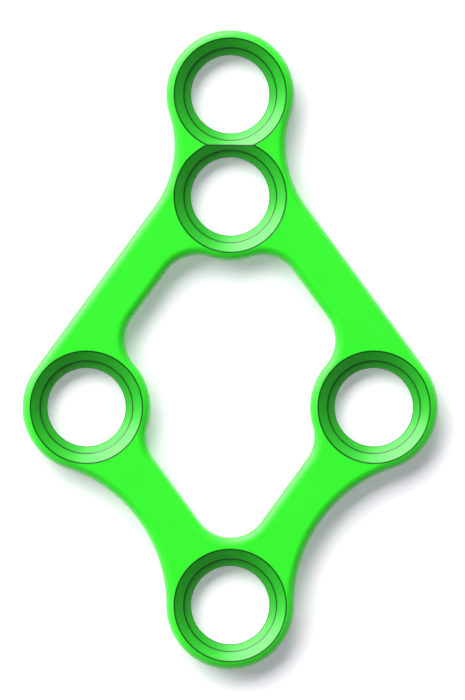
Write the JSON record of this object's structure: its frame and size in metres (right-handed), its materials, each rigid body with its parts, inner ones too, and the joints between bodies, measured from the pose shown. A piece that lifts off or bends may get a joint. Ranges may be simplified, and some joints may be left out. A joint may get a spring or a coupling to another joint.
{
  "type": "orthopedic bone plate",
  "caption": "Small flat rhombic bone plate with countersunk screw holes round an open window, two of them in a close pair at one end.",
  "frame": {"origin": "on the bone side's plane, under the middle of the plate's length and width", "axes": "+Z out of the screw side, +Y along the length towards the close pair of holes, +X across the width"},
  "size_m": [0.013, 0.02, 0.001],
  "materials": {
    "anodised_titanium": "green anodised titanium, satin"
  },
  "bodies": {
    "root": {"bone_plate": "anodised_titanium"}
  },
  "joints": []
}
